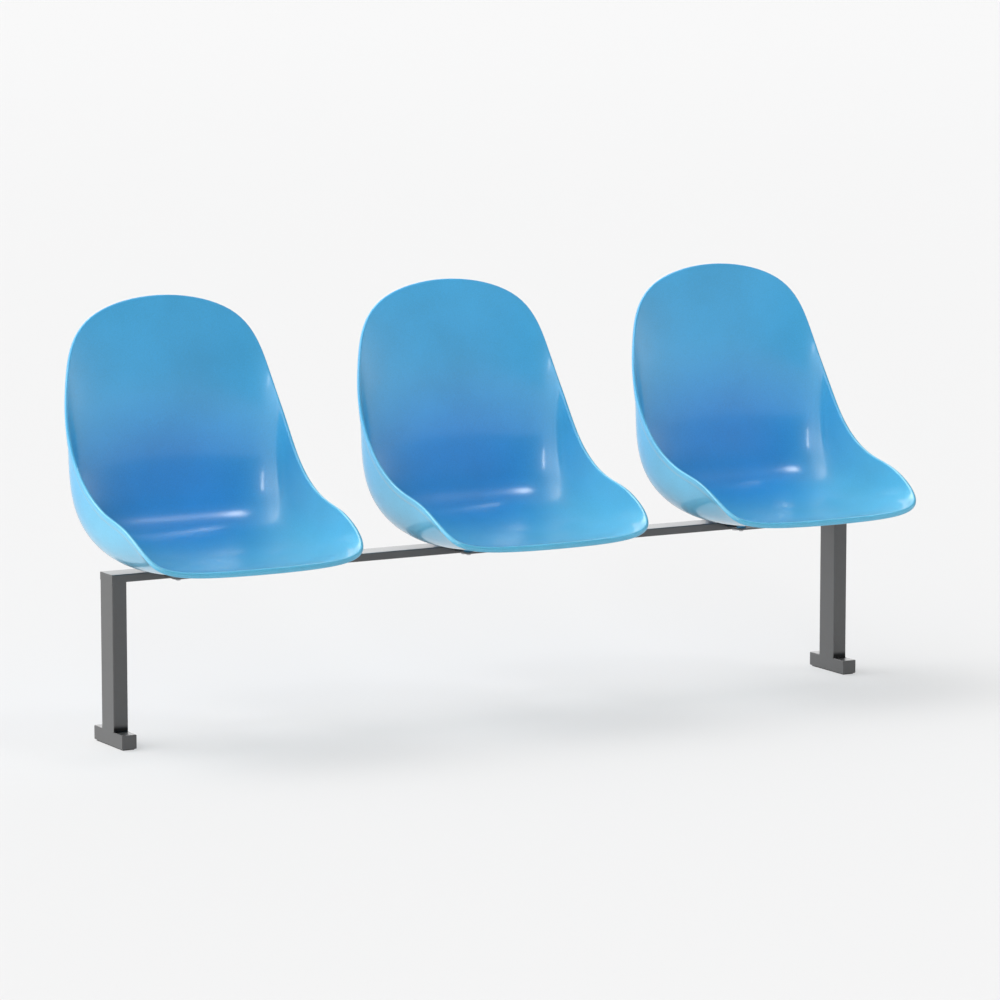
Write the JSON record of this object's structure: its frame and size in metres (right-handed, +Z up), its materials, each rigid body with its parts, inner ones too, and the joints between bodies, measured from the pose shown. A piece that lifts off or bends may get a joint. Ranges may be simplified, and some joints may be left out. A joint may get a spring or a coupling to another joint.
{
  "type": "beam seating",
  "caption": "Beam bench: one-piece moulded bucket seats on bent steel brackets, bolted to a flat steel beam carried by two posts with short bar feet.",
  "frame": {"origin": "on the floor, below the middle of the bench's bounding box", "axes": "+X along the beam to the sitters' left, +Y towards the back of the seats, +Z up"},
  "size_m": [1.7734, 0.4727, 0.8554],
  "materials": {
    "shell": "semi-gloss moulded blue plastic with a fine grain",
    "frame": "dark grey powder coat on steel, satin",
    "bracket": "dark grey powder coat on bent steel plate",
    "fasteners": "bright zinc plate",
    "inserts": "turned brass",
    "pads": "black rubber"
  },
  "bodies": {
    "root": {"beam_tube": "frame", "beam_end_plate_left": "frame", "beam_end_plate_right": "frame", "post_left": "frame", "post_right": "frame", "foot_left": "frame", "foot_right": "frame", "foot_end_plates_left": "frame", "foot_end_plates_right": "frame", "foot_pad_left": "pads", "foot_pad_right": "pads", "seat_shell_left": "shell", "shell_inserts_left": "inserts", "seat_bracket_left": "bracket", "seat_washers_left": "fasteners", "seat_screws_left": "fasteners", "beam_bolts_left": "fasteners", "bolt_washers_left": "fasteners", "beam_nuts_left": "fasteners", "beam_sleeves_left": "fasteners", "seat_shell_middle": "shell", "shell_inserts_middle": "inserts", "seat_bracket_middle": "bracket", "seat_washers_middle": "fasteners", "seat_screws_middle": "fasteners", "beam_bolts_middle": "fasteners", "bolt_washers_middle": "fasteners", "beam_nuts_middle": "fasteners", "beam_sleeves_middle": "fasteners", "seat_shell_right": "shell", "shell_inserts_right": "inserts", "seat_bracket_right": "bracket", "seat_washers_right": "fasteners", "seat_screws_right": "fasteners", "beam_bolts_right": "fasteners", "bolt_washers_right": "fasteners", "beam_nuts_right": "fasteners", "beam_sleeves_right": "fasteners"}
  },
  "joints": []
}
